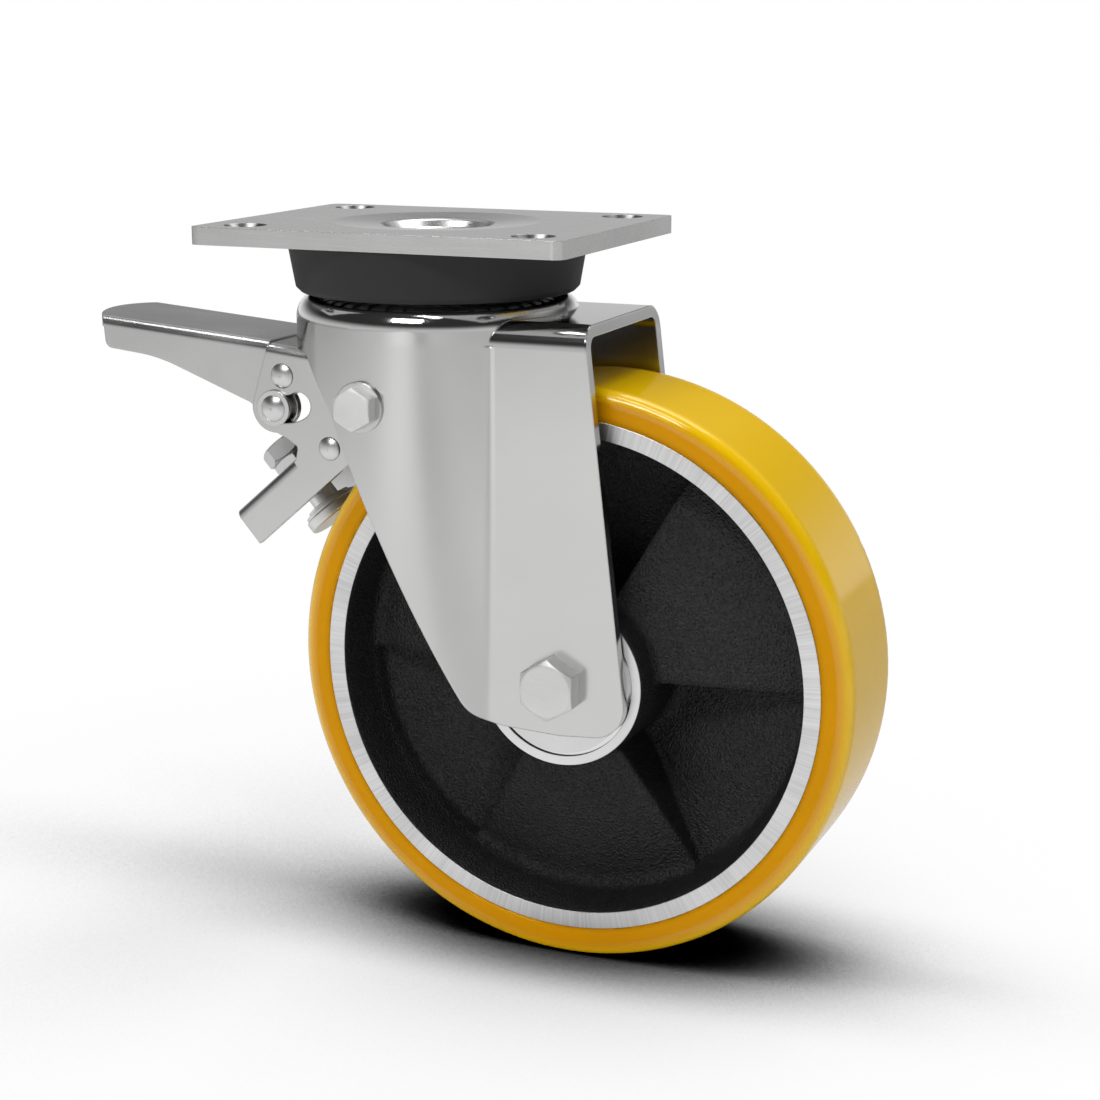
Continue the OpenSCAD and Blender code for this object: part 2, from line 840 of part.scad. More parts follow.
module wheel_core() {
    color("#2b2b2b")
    translate([axle[0], 0, axle[1]])
        rotate([-90, 0, 0])
            difference() {
                rotate_extrude()
                    core_profile();
                for (i = [0:web_panels - 1])
                    rotate([0, 0, (i + 0.5) * 360 / web_panels])
                        mirror([0, 0, i % 2 == 0 ? 1 : 0])
                            intersection() {
                                rotate_extrude()
                                    pocket_profile();
                                pocket_wedge();
                            }
            }
}

module tread() {
    half = wheel_w / 2;
    color("#c98f0e")
    about_axle(axle)
        rounded_polygon([
            [rim_r, -half, 0], [wheel_r, -half, tread_r], [wheel_r, half, tread_r], [rim_r, half, 0]
        ]);
}

// Brake

// Places along and across the bracket's tongue: s from the brake pivot, n outwards from its lower edge
function on_tongue(s, n) = pivot + turn2([-s, 0], tongue_a) + turn2([0, 1], tongue_a) * (n - lobe_r);

// Side view of the bracket's plates, without the bent web at the end of the tongue
module bracket_outline() {
    left = tangent_point(bracket_top, pin_place, pin_lobe_r - 0.03);
    flange_n = tongue_w - lever_bend_r - 1;
    rounded_polygon([
        [bracket_top[0], bracket_top[1], 0],
        [left[0], left[1], 0],
        [pin_place[0], pin_place[1], 0],
        [pin_place[0] + 0.6, pin_place[1] - pin_lobe_r, 0],
        [pin_place[0] + 4.4, pin_place[1] - pin_lobe_r - 1.6, 0],
        [pin_place[0] + 8.8, pin_place[1] - pin_lobe_r - 4.4, 1.5],
        concat(on_tongue(tongue_web_start - 0.5, tongue_w - 0.6), 0),
        concat(on_tongue(tongue_web_start + 1, tongue_w - 0.9), 0),
        concat(on_tongue(tongue_web_start + 1, flange_n), 0),
        concat(on_tongue(tongue_web_start + 4, flange_n), 0),
        concat(on_tongue(tongue_web_start + 4, 0), 0),
        concat(on_tongue(-1, 0.1), 0),
        [pivot[0], pivot[1], 0],
        [pivot[0], pivot[1] + lobe_r - 0.1, 0],
        [pivot[0] - 12, pivot[1] + lobe_r + 1, 8],
        [hinge[0] + 20, bracket_top[1] - 2.7, 6]
    ]);
    translate(pivot)
        circle(r = lobe_r);
    translate(pin_place)
        circle(r = pin_lobe_r);
}

// A bent sheet's outer form: a bar along +x, wide in y, rounded along its two top edges at z = 0
module bent_bar(length, half_w, depth, r) {
    rotate([90, 0, 90])
        linear_extrude(length)
            rounded_polygon([[-half_w, -depth, 0], [half_w, -depth, 0], [half_w, 0, r], [-half_w, 0, r]]);
}

// Places children on the bracket's sloping top, x towards the fork
module on_bracket_top() {
    translate([bracket_top[0] - 30, 0, bracket_top[1] + 30 * tan(bracket_slope)])
        rotate([0, bracket_slope, 0])
            children();
}

// Places children on the web of the tongue, x towards the fork, from the tongue's end
module on_tongue_web() {
    place = on_tongue(tongue_end, tongue_w);
    translate([place[0], 0, place[1]])
        rotate([0, -tongue_a, 0])
            children();
}

module brake_bracket() {
    web_l = tongue_end - tongue_web_start;
    bend_in = lever_bend_r - lever_t;
    color("#a9aaaa")
    difference() {
        union() {
            difference() {
                intersection() {
                    side_slab(-bracket_y, bracket_y)
                        bracket_outline();
                    on_bracket_top()
                        bent_bar(100, bracket_y, 90, lever_bend_r);
                }
                on_bracket_top()
                    translate([-5, 0, -lever_t])
                        bent_bar(110, bracket_in, 100, bend_in);
            }
            difference() {
                on_tongue_web()
                    bent_bar(web_l, bracket_y, tongue_w, lever_bend_r);
                on_tongue_web()
                    translate([-1, 0, -lever_t])
                        bent_bar(web_l + 2, bracket_in, tongue_w, bend_in);
            }
        }
        arc_slot();
        translate([hinge[0] - 0.5, -pawl_w / 2 - 1, hinge[1] + 2])
            cube([cam_reach, pawl_w + 2, cam_reach]);
        cross_cylinder(hinge, hinge_d / 2 + fit, -bracket_y - 1, bracket_y + 1);
        cross_cylinder(tie, tie_r, -bracket_y - 1, bracket_y + 1);
        cross_cylinder(pivot, pivot_bush_r + fit, -bracket_y - 1, bracket_y + 1);
        on_screw()
            translate([0, 0, -lever_t - 1])
                cylinder(r = screw_d / 2 + fit, h = lever_t + 2);
    }
}

// The arc slot in both side plates, about the pedal hinge
module arc_slot() {
    start = -pin_angle - 2;
    end = -pin_angle + pedal_travel + 2;
    side_slab(-bracket_y - 1, bracket_y + 1) {
        difference() {
            translate(hinge)
                difference() {
                    circle(r = slot_r + slot_w / 2);
                    circle(r = slot_r - slot_w / 2);
                }
            translate(hinge)
                polygon([
                    [0, 0], 40 * [cos(end), sin(end)], [60, 40], [0, 60], [-60, 40], [-60, -40],
                    40 * [cos(start), sin(start)]
                ]);
        }
        for (a = [start, end])
            translate(hinge + slot_r * [cos(a), sin(a)])
                circle(r = slot_w / 2 - 0.02);
    }
}

module bracket_bush() {
    color("#8d8f91")
    cross_tube(pivot, pivot_bush_r, pivot_d / 2 + fit, -bracket_y - side_gap, bracket_y + side_gap);
}

// A pin across both plates with domed heads outside them
module headed_pin(at, r, head_r_out, y) {
    cross_cylinder(at, r, -y - tau, y + tau);
    for (side = [-1, 1])
        face_out(at, side * y)
            dome(head_r_out, rivet_h);
}

module bracket_tie() {
    color("#b5b6b6")
    headed_pin(tie, tie_r, rivet_head_d / 2, bracket_y);
}

module hinge_pin() {
    color("#b5b6b6")
    headed_pin(hinge, hinge_d / 2, hinge_head_d / 2, bracket_y);
}

// Places children on the axis of the adjusting screw, +z out of the web, z = 0 on its outer face
module on_screw() {
    place = on_tongue(screw_at, tongue_w);
    translate([place[0], 0, place[1]])
        rotate([0, -tongue_a, 0])
            children();
}

module adjusting_nut() {
    color("#bcbdbd")
    on_screw()
        difference() {
            hex_block(screw_af, 6, true);
            translate([0, 0, -1])
                cylinder(r = screw_d / 2 + fit, h = 8);
        }
}

module adjusting_screw() {
    color("#bcbdbd")
    on_screw() {
        translate([0, 0, 6])
            rotate([0, 0, 17])
                hex_block(screw_af, 6.4, true);
        translate([0, 0, -lever_t - screw_drop])
            cylinder(r = screw_d / 2, h = lever_t + screw_drop + 7);
    }
}

module foot_washers() {
    washer_t = 1.2;
    color("#b0b0ae")
    on_screw()
        translate([0, 0, -lever_t - screw_drop])
            difference() {
                union() {
                    cylinder(r = foot_d / 2 - 0.8, h = washer_t);
                    translate([0, 0, washer_t])
                        cylinder(r = foot_d / 2 - 2.6, h = washer_t);
                }
                translate([0, 0, -1])
                    cylinder(r = screw_d / 2 + fit, h = 2 * washer_t + 2);
            }
}

module brake_foot() {
    color("#b0b0ae")
    on_screw()
        translate([0, 0, -lever_t - screw_drop - foot_t])
            rotate_extrude()
                rounded_polygon([
                    [0, 0, 0], [foot_d / 2, 0, 0.8], [foot_d / 2, foot_t, 0.6], [0, foot_t, 0]
                ]);
}

// A round wire along a list of points, swept with a fixed sideways direction
module wire(path, r, sides = 8) {
    n = len(path);
    function tangent(i) = unit(path[min(i + 1, n - 1)] - path[max(i - 1, 0)]);
    function across(i) = unit(cross(tangent(i), [0, 1, 0]));
    function over(i) = cross(across(i), tangent(i));
    points = [for (i = [0:n - 1]) for (k = [0:sides - 1])
        path[i] + r * (across(i) * cos(360 * k / sides) + over(i) * sin(360 * k / sides))];
    walls = [for (i = [0:n - 2]) for (k = [0:sides - 1])
        let (a = i * sides + k, b = i * sides + (k + 1) % sides)
        [a, b, b + sides, a + sides]];
    polyhedron(points, concat(
        [[for (k = [sides - 1:-1:0]) k]], walls, [[for (k = [0:sides - 1]) (n - 1) * sides + k]]));
}

module pedal_spring() {
    wire_r = 0.8;
    coil_r = 6.2;
    turns = 3;
    steps = 14;
    lead = 2;
    y0 = -pedal_y + lever_t + 2.2;
    reach = norm(tie - hinge);
    tie_a = atan2(tie[1] - hinge[1], tie[0] - hinge[0]);
    leg_a = tie_a - asin((coil_r - tie_r - wire_r - 0.1) / reach);
    leg_to = hinge + turn2([reach + 2, coil_r], leg_a);
    coil = [for (i = [0:turns * steps])
        let (a = leg_a + 90 + 360 * i / steps)
        [hinge[0] + coil_r * cos(a), y0 + lead * i / steps, hinge[1] + coil_r * sin(a)]];
    color("#d0d0ce")
    wire(concat([[leg_to[0], y0, leg_to[1]]], coil), wire_r);
}

// Side view of the pedal, tip at the left
module pedal_outline() {
    side_x = pedal_tip[0] + tip_bulge;
    rounded_polygon([
        [pedal_top[0], pedal_top[1] + 3, 0],
        [pedal_tip[0] - 2, pedal_tip[1] + 3, 0],
        [pedal_tip[0] - 2, pedal_tip[1] - lever_t - 2, 0],
        [side_x + 0.3, pedal_tip[1] - lever_t - 2, 0],
        [side_x + 0.9, pedal_tip[1] - tip_side_h - 0.7, 3],
        [hinge[0] - 51.7, hinge[1] + 3.5, 60],
        [hinge[0] - 14.6, hinge[1] - 10.5, 0],
        [pin_place[0] - 5, pin_place[1] - 4, 0],
        [pin_place[0], pin_place[1], 0],
        [hinge[0] + 7.2, hinge[1], 0],
        [hinge[0], hinge[1] + 7.2, 0],
        [pedal_top[0], hinge[1] + 7.2, 0]
    ]);
    translate(hinge)
        circle(r = 7.4);
    translate(pin_place)
        circle(r = 7.6);
}

// Plan of the pedal with its bulging tip
module pedal_plan() {
    bulge_r = (pow(pedal_y, 2) + pow(tip_bulge, 2)) / (2 * tip_bulge);
    translate([pedal_tip[0] + bulge_r, 0])
        intersection() {
            circle(r = bulge_r);
            translate([-bulge_r - 1, -pedal_y])
                square([tip_bulge + 1, pedal_w]);
        }
    translate([pedal_tip[0] + tip_bulge - tau, -pedal_y])
        square([pedal_reach + 40, pedal_w]);
}

// Places children on the pedal's sloping top, x towards the hinge
module on_pedal_top() {
    past_tip = pedal_reach + 20;
    translate([pedal_top[0] - past_tip, 0, pedal_top[1] + past_tip * tan(pedal_slope)])
        rotate([0, pedal_slope, 0])
            children();
}

module brake_pedal() {
    color("#a9aaaa")
    difference() {
        intersection() {
            side_slab(-pedal_y, pedal_y)
                pedal_outline();
            on_pedal_top()
                bent_bar(pedal_reach + 60, pedal_y, 90, lever_bend_r);
            translate([0, 0, -total_h])
                linear_extrude(total_h)
                    pedal_plan();
        }
        on_pedal_top()
            translate([-5, 0, -lever_t])
                bent_bar(pedal_reach + 70, pedal_y - lever_t, 100, lever_bend_r - lever_t);
        cross_cylinder(hinge, hinge_d / 2 + fit, -pedal_y - 1, pedal_y + 1);
        cross_cylinder(pin_place, slot_pin_r, -pedal_y - 1, pedal_y + 1);
    }
}

// Cam on the hinge pin that lifts the lock pawl as the pedal goes down
module pedal_cam() {
    nose_a = 10;
    nose_tip_r = 2.5;
    color("#8d8f91")
    difference() {
        union() {
            cross_cylinder(hinge, hinge_d / 2 + 2.2, -pedal_y + lever_t, pedal_y - lever_t);
            side_slab(-cam_w / 2, cam_w / 2)
                translate(hinge)
                    rotate(nose_a) {
                        translate([0, -nose_tip_r])
                            square([cam_reach - nose_tip_r, 2 * nose_tip_r]);
                        translate([cam_reach - nose_tip_r, 0])
                            circle(r = nose_tip_r);
                    }
        }
        cross_cylinder(hinge, hinge_d / 2 + fit, -pedal_y, pedal_y);
    }
}

// Studs riveted to the pedal's sides that run in the bracket's arc slots
module slot_studs() {
    color("#b5b6b6")
    for (side = [0, 1])
        mirror([0, side, 0]) {
            cross_cylinder(pin_place, slot_pin_r, -studs_y - tau, -pedal_y + lever_t);
            face_out(pin_place, -studs_y)
                dome(slot_pin_r, rivet_h);
        }
}

module slot_washers() {
    color("#c0c1c1")
    for (side = [0, 1])
        mirror([0, side, 0])
            cross_tube(pin_place, slot_washer_d / 2, slot_pin_r, -studs_y, -bracket_y - 0.1);
}

top_plate();
kingpin();
upper_race();
upper_balls();
swivel_lock_ring();
dust_seal();
lower_cone();
kingpin_washer();
kingpin_nut();
lower_balls();
fork();
head_race();
head_lower_race();
axle_bolt();
axle_washer();
axle_nut();
axle_sleeve();
bearing_spacer();
bearing_caps();
bearing_inner_rings();
brake_pivot_bolt();
pivot_collars();
brake_pivot_nut();
pivot_spacers();
lock_pawl();
wheel_core();
tread();
bearing_outer_rings();
bearing_balls();
bearing_shields();
brake_bracket();
bracket_bush();
bracket_tie();
hinge_pin();
adjusting_screw();
adjusting_nut();
foot_washers();
brake_foot();
pedal_spring();
brake_pedal();
pedal_cam();
slot_studs();
slot_washers();
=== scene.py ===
"""Swivel castor with a locking pedal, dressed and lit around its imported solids."""
import logging
import math
from dataclasses import dataclass
from enum import Enum
from typing import Callable, Sequence

import bmesh
import bpy
from mathutils import Matrix, Vector


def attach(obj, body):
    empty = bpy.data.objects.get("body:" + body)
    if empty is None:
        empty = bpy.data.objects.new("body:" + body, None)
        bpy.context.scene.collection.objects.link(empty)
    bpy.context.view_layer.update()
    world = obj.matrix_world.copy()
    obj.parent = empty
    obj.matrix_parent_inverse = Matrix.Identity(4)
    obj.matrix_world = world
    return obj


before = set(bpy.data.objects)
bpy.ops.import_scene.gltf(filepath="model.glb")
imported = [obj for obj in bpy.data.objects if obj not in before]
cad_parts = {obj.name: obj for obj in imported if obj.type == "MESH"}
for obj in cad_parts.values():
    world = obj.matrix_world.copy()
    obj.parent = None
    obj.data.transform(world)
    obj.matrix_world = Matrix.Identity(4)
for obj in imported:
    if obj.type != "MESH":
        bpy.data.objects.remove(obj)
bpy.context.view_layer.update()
log = logging.getLogger("castor")
MM = 0.001
AXLE = Vector((0.0575, 0.0, -0.15))
# Painted shade in the chamfers of the top plate's four holes: where they are, how wide the shade is and how dark.
HOLE_AT = (0.0525, 0.04)
HOLE_FACE_R = (0.0071, 0.0074)
HOLE_SHADE = 0.40
AROUND_SCALE = 0.08
FINE_STRETCH = (0.012, 1.0, 1.0)
BROAD_STRETCH = (0.05, 1.0, 1.0)
BROAD_SCALE = 260.0
LINE_CLOUD_SCALE = 34.0
SKIN_CLOUD_SCALE = 28.0
Colour = tuple[float, float, float]
Place = tuple[float, float, float]


class Grain(Enum):
    """The way that the fine lines of a worked metal surface run."""

    NONE = "none"
    ALONG_X = "x"
    ALONG_Z = "z"
    TURNED = "turned"
    RADIAL = "radial"


class Bench:
    """Makes and joins the nodes of one material, group or world.

    Args:
        tree: The node tree that the nodes go into.
    """

    def __init__(self, tree: bpy.types.NodeTree) -> None:
        """Keeps the tree."""
        self.tree = tree

    def node(self, kind: str, **settings: object) -> bpy.types.Node:
        """Adds a node and sets its properties and sockets.

        Args:
            kind: The node's type, without the words ShaderNode.
            settings: Properties by name; a key with a capital sets the socket of that name.

        Returns:
            The new node.
        """
        made = self.tree.nodes.new("ShaderNode" + kind if not kind.startswith("Node") else kind)
        for key, value in settings.items():
            if key[0].isupper():
                self.feed(made.inputs[key.replace("_", " ")], value)
            else:
                setattr(made, key, value)
        return made

    def feed(self, socket: bpy.types.NodeSocket, value: object) -> None:
        """Links a socket to another, or gives it a plain value.

        Args:
            socket: The input socket.
            value: An output socket, or the plain value.
        """
        if isinstance(value, bpy.types.NodeSocket):
            self.tree.links.new(value, socket)
        else:
            socket.default_value = value

    def math(self, operation: str, first: object, second: object = 0.0, clamp: bool = False) -> bpy.types.NodeSocket:
        """Adds one Math node.

        Args:
            operation: Blender's name of the sum.
            first: First value or socket.
            second: Second value or socket.
            clamp: Whether the result is kept from 0 to 1.

        Returns:
            The result's socket.
        """
        made = self.node("Math", operation=operation, use_clamp=clamp)
        for socket, value in zip(made.inputs, (first, second)):
            self.feed(socket, value)
        return made.outputs[0]

    def vector(self, operation: str, first: object, second: object = (0.0, 0.0, 0.0),
               scale: object = 1.0) -> bpy.types.NodeSocket:
        """Adds one Vector Math node.

        Args:
            operation: Blender's name of the sum.
            first: First vector or socket.
            second: Second vector or socket.
            scale: The factor, for SCALE only.

        Returns:
            The vector's socket, or the value's for a length.
        """
        made = self.node("VectorMath", operation=operation)
        self.feed(made.inputs[0], first)
        self.feed(made.inputs[1], second)
        if operation == "SCALE":
            self.feed(made.inputs["Scale"], scale)
        return made.outputs["Value" if operation == "LENGTH" else "Vector"]

    def ramp(self, value: object, low: float, high: float, to_low: float = 0.0,
             to_high: float = 1.0, smooth: bool = True) -> bpy.types.NodeSocket:
        """Maps a value from one range to another, held at its ends.

        Args:
            value: The socket that is mapped.
            low: Value that gives to_low.
            high: Value that gives to_high.
            to_low: Result at low.
            to_high: Result at high.
            smooth: Whether the change eases in and out.

        Returns:
            The mapped value's socket.
        """
        made = self.node("MapRange", interpolation_type="SMOOTHSTEP" if smooth else "LINEAR")
        for name, given in (("Value", value), ("From Min", low), ("From Max", high),
                            ("To Min", to_low), ("To Max", to_high)):
            self.feed(made.inputs[name], given)
        return made.outputs["Result"]

    def mix(self, share: object, first: object, second: object) -> bpy.types.NodeSocket:
        """Mixes two colours.

        Args:
            share: Share of the second, from 0 to 1.
            first: First colour or socket.
            second: Second colour or socket.

        Returns:
            The mixed colour's socket.
        """
        made = self.node("Mix", data_type="RGBA")
        for index, value in ((0, share), (6, first), (7, second)):
            self.feed(made.inputs[index], (*value, 1.0) if isinstance(value, tuple) else value)
        return made.outputs[2]

    def noise(self, place: object, scale: float, detail: float = 2.0, rough: float = 0.5) -> bpy.types.NodeSocket:
        """Adds a noise from 0 to 1.

        Args:
            place: Socket with the place.
            scale: One over the size of a cell in metres.
            detail: Number of finer layers.
            rough: Weight of the finer layers.

        Returns:
            The noise's socket.
        """
        made = self.node("TexNoise", Vector=place, Scale=scale, Detail=detail, Roughness=rough)
        return made.outputs["Fac"]


def start_group(name: str, inputs: Sequence[tuple[str, str, float]], outputs: Sequence[tuple[str, str]],
                build: Callable[[Bench, bpy.types.Node, bpy.types.Node], None]) -> bpy.types.NodeTree:
    """Builds a shader node group once.

    Args:
        name: The group's name.
        inputs: Name, kind (Float or Vector) and default of each input.
        outputs: Name and kind of each output.
        build: Fills the group, given its bench, its input node and its output node.

    Returns:
        The group's tree.
    """
    if name in bpy.data.node_groups:
        return bpy.data.node_groups[name]
    tree = bpy.data.node_groups.new(name, "ShaderNodeTree")
    for label, kind, default in inputs:
        socket = tree.interface.new_socket(label, in_out="INPUT", socket_type="NodeSocket" + kind)
        if kind == "Float":
            socket.default_value = default
    for label, kind in outputs:
        tree.interface.new_socket(label, in_out="OUTPUT", socket_type="NodeSocket" + kind)
    bench = Bench(tree)
    build(bench, bench.node("NodeGroupInput"), bench.node("NodeGroupOutput"))
    return tree


def fill_drawn_lines(bench: Bench, given: bpy.types.Node, out: bpy.types.Node) -> None:
    """Fills the group of fine lines left by rolling, grinding or turning.

    Args:
        bench: The group's bench.
        given: Its input node, with Place (stretched so that lines run along its X) and Pitch.
        out: Its output node, with Lines, Height and Cloud.
    """
    place = given.outputs["Place"]
    squeezed = bench.vector("MULTIPLY", place, FINE_STRETCH)
    fine = bench.node("TexNoise", Vector=squeezed, Scale=given.outputs["Pitch"], Detail=3.0, Roughness=0.6)
    broad = bench.noise(bench.vector("MULTIPLY", place, BROAD_STRETCH), BROAD_SCALE, detail=2.0)
    cloud = bench.noise(place, LINE_CLOUD_SCALE, detail=3.0, rough=0.55)
    lines = bench.math("ADD", bench.math("MULTIPLY", fine.outputs["Fac"], 0.7), bench.math("MULTIPLY", broad, 0.3))
    bench.feed(out.inputs["Lines"], lines)
    bench.feed(out.inputs["Height"], lines)
    bench.feed(out.inputs["Cloud"], cloud)


def drawn_lines() -> bpy.types.NodeTree:
    """The group of fine lines, made once."""
    return start_group("drawn_lines", [("Place", "Vector", 0.0), ("Pitch", "Float", 2500.0)],
                       [("Lines", "Float"), ("Height", "Float"), ("Cloud", "Float")], fill_drawn_lines)


def fill_cast_skin(bench: Bench, given: bpy.types.Node, out: bpy.types.Node) -> None:
    """Fills the group of small bumps on a coated casting or a moulding.

    Args:
        bench: The group's bench.
        given: Its input node, with Place and Scale.
        out: Its output node, with Height and Cloud.
    """
    place = given.outputs["Place"]
    bumps = bench.node("TexVoronoi", feature="SMOOTH_F1", Vector=place, Scale=given.outputs["Scale"], Smoothness=0.6)
    soft = bench.node("TexNoise", Vector=place, Scale=given.outputs["Scale"], Detail=2.0)
    height = bench.math("ADD", bench.math("MULTIPLY", bumps.outputs["Distance"], 0.6), soft.outputs["Fac"])
    bench.feed(out.inputs["Height"], height)
    bench.feed(out.inputs["Cloud"], bench.noise(place, SKIN_CLOUD_SCALE, detail=3.0))


def cast_skin() -> bpy.types.NodeTree:
    """The group of casting bumps, made once."""
    return start_group("cast_skin", [("Place", "Vector", 0.0), ("Scale", "Float", 900.0)],
                       [("Height", "Float"), ("Cloud", "Float")], fill_cast_skin)


def start_material(name: str) -> tuple[bpy.types.Material, Bench, bpy.types.Node, bpy.types.NodeSocket]:
    """Starts a material with one shader.

    Args:
        name: The material's name.

    Returns:
        The material, its bench, its Principled shader and the Object coordinates.
    """
    material = bpy.data.materials.new(name)
    material.use_nodes = True
    tree = material.node_tree
    tree.nodes.clear()
    bench = Bench(tree)
    shader = bench.node("BsdfPrincipled")
    out = bench.node("OutputMaterial")
    bench.feed(out.inputs["Surface"], shader.outputs["BSDF"])
    place = bench.node("TexCoord").outputs["Object"]
    return material, bench, shader, place


def add_bump(bench: Bench, shader: bpy.types.Node, height: object, depth: float, edge_r: float) -> None:
    """Joins a bump, and softened edges under it, to the shader.

    Args:
        bench: The material's bench.
        shader: Its Principled shader.
        height: Socket with the height from 0 to 1.
        depth: Depth of the bump in metres.
        edge_r: Radius in metres that sharp edges look rounded to, or 0.
    """
    bump = bench.node("Bump", Height=height, Distance=depth, Strength=1.0)
    if edge_r > 0:
        bevel = bench.node("Bevel", samples=4, Radius=edge_r)
        bench.feed(bump.inputs["Normal"], bevel.outputs["Normal"])
    bench.feed(shader.inputs["Normal"], bump.outputs["Normal"])


@dataclass(frozen=True)
class Metal:
    """A bare or plated metal finish with fine lines.

    Attributes:
        name: Name of the material.
        colour: Its colour.
        rough: Middle roughness.
        spread: How far the lines and clouds move the roughness.
        shade: How far they darken the colour.
        grain: The way the lines run.
        pitch: Lines per metre, roughly.
        depth: Depth of the lines in metres.
        edge_r: Radius that sharp edges look rounded to, in metres.
        pull: Strength of the stretched highlights across the lines.
        bright_z: Height over which the sheet is smoother, where it has one.
        bright_band: Height in which it turns smoother, in metres.
        bright_share: Share of the roughness that is left there.
        paint_hole_shade: True where shade is painted into the chamfers of the plate's holes, darkening its colour
            there.
    """

    name: str
    colour: Colour
    rough: float = 0.3
    spread: float = 0.08
    shade: float = 0.06
    grain: Grain = Grain.ALONG_X
    pitch: float = 2500.0
    depth: float = 4e-6
    edge_r: float = 0.0006
    pull: float = 0.0
    bright_z: float | None = None
    bright_band: float = 0.004
    bright_share: float = 0.45
    paint_hole_shade: bool = False

    def material(self) -> bpy.types.Material:
        """Builds the material.

        Returns:
            The new material.
        """
        material, bench, shader, place = start_material(self.name)
        if self.grain is Grain.NONE:
            marks = bench.node("Group", node_tree=cast_skin(), Scale=self.pitch, Place=place)
            worn = marks.outputs["Cloud"]
        else:
            if self.grain is Grain.ALONG_Z:
                parts = bench.node("SeparateXYZ", Vector=place).outputs
                place = bench.node("CombineXYZ", X=parts["Z"], Y=parts["X"], Z=parts["Y"]).outputs["Vector"]
            elif self.grain in (Grain.TURNED, Grain.RADIAL):
                place = turned_place(bench, self.grain)
            marks = bench.node("Group", node_tree=drawn_lines(), Pitch=self.pitch, Place=place)
            worn = bench.math("ADD", bench.math("MULTIPLY", marks.outputs["Lines"], 0.6),
                              bench.math("MULTIPLY", marks.outputs["Cloud"], 0.4))
        rough = bench.ramp(worn, 0.3, 0.7, self.rough - self.spread, self.rough + self.spread, False)
        if self.bright_z is not None:
            height = bench.node("SeparateXYZ", Vector=place).outputs["Z"]
            smoother = bench.ramp(height, self.bright_z - self.bright_band, self.bright_z, 1.0, self.bright_share)
            rough = bench.math("MULTIPLY", rough, smoother)
        bench.feed(shader.inputs["Roughness"], rough)
        dark = tuple(c * (1.0 - self.shade) for c in self.colour)
        light = tuple(min(c * (1.0 + self.shade), 1.0) for c in self.colour)
        colour = bench.mix(bench.ramp(worn, 0.35, 0.65), dark, light)
        # Painted shade: the plate's colour is darkened in the chamfers of its holes.
        if self.paint_hole_shade:
            colour = bench.vector("SCALE", colour, scale=hole_shade(bench))
        bench.feed(shader.inputs["Base Color"], colour)
        shader.inputs["Metallic"].default_value = 1.0
        if self.pull:
            shader.inputs["Anisotropic"].default_value = self.pull
            bench.feed(shader.inputs["Tangent"], turned_tangent(bench))
        add_bump(bench, shader, marks.outputs["Height"], self.depth, self.edge_r)
        return material


def hole_shade(bench: Bench) -> bpy.types.NodeSocket:
    """Painted shade in the chamfers of the plate's four holes: how far the plate's colour is darkened there.

    Args:
        bench: The bench of the material.

    Returns:
        Socket that is 1 on the plate and lower in the chamfers.
    """
    spot = bench.vector("ABSOLUTE", bench.node("TexCoord").outputs["Object"])
    flat = bench.vector("MULTIPLY", bench.vector("SUBTRACT", spot, (*HOLE_AT, 0.0)), (1.0, 1.0, 0.0))
    return bench.ramp(bench.vector("LENGTH", flat), *HOLE_FACE_R, HOLE_SHADE, 1.0)


def from_axle(bench: Bench) -> tuple[bpy.types.NodeSocket, bpy.types.NodeSocket, bpy.types.NodeSocket]:
    """Gives each point's distance from the wheel's axle, its turn about it and its place across the castor.

    Args:
        bench: The material's bench.

    Returns:
        Sockets with the radius, the angle and the Y place.
    """
    place = bench.node("TexCoord").outputs["Object"]
    parts = bench.node("SeparateXYZ", Vector=bench.vector("SUBTRACT", place, tuple(AXLE))).outputs
    flat = bench.node("CombineXYZ", X=parts["X"], Y=0.0, Z=parts["Z"]).outputs["Vector"]
    angle = bench.math("ARCTAN2", parts["Z"], parts["X"])
    return bench.vector("LENGTH", flat), angle, parts["Y"]


def turned_place(bench: Bench, grain: Grain) -> bpy.types.NodeSocket:
    """Unrolls the wheel's faces so that lines run round the axle, or out from it.

    Args:
        bench: The material's bench.
        grain: TURNED or RADIAL.

    Returns:
        The unrolled place, whose X runs along the lines.
    """
    radius, angle, across = from_axle(bench)
    around = bench.math("MULTIPLY", angle, AROUND_SCALE)
    along, aside = (around, radius) if grain is Grain.TURNED else (radius, around)
    return bench.node("CombineXYZ", X=along, Y=aside, Z=across).outputs["Vector"]


def turned_tangent(bench: Bench) -> bpy.types.NodeSocket:
    """Gives the direction round the axle at each point.

    Args:
        bench: The material's bench.

    Returns:
        The direction's socket.
    """
    place = bench.node("TexCoord").outputs["Object"]
    arm = bench.vector("SUBTRACT", place, tuple(AXLE))
    return bench.vector("NORMALIZE", bench.vector("CROSS_PRODUCT", arm, (0.0, 1.0, 0.0)))


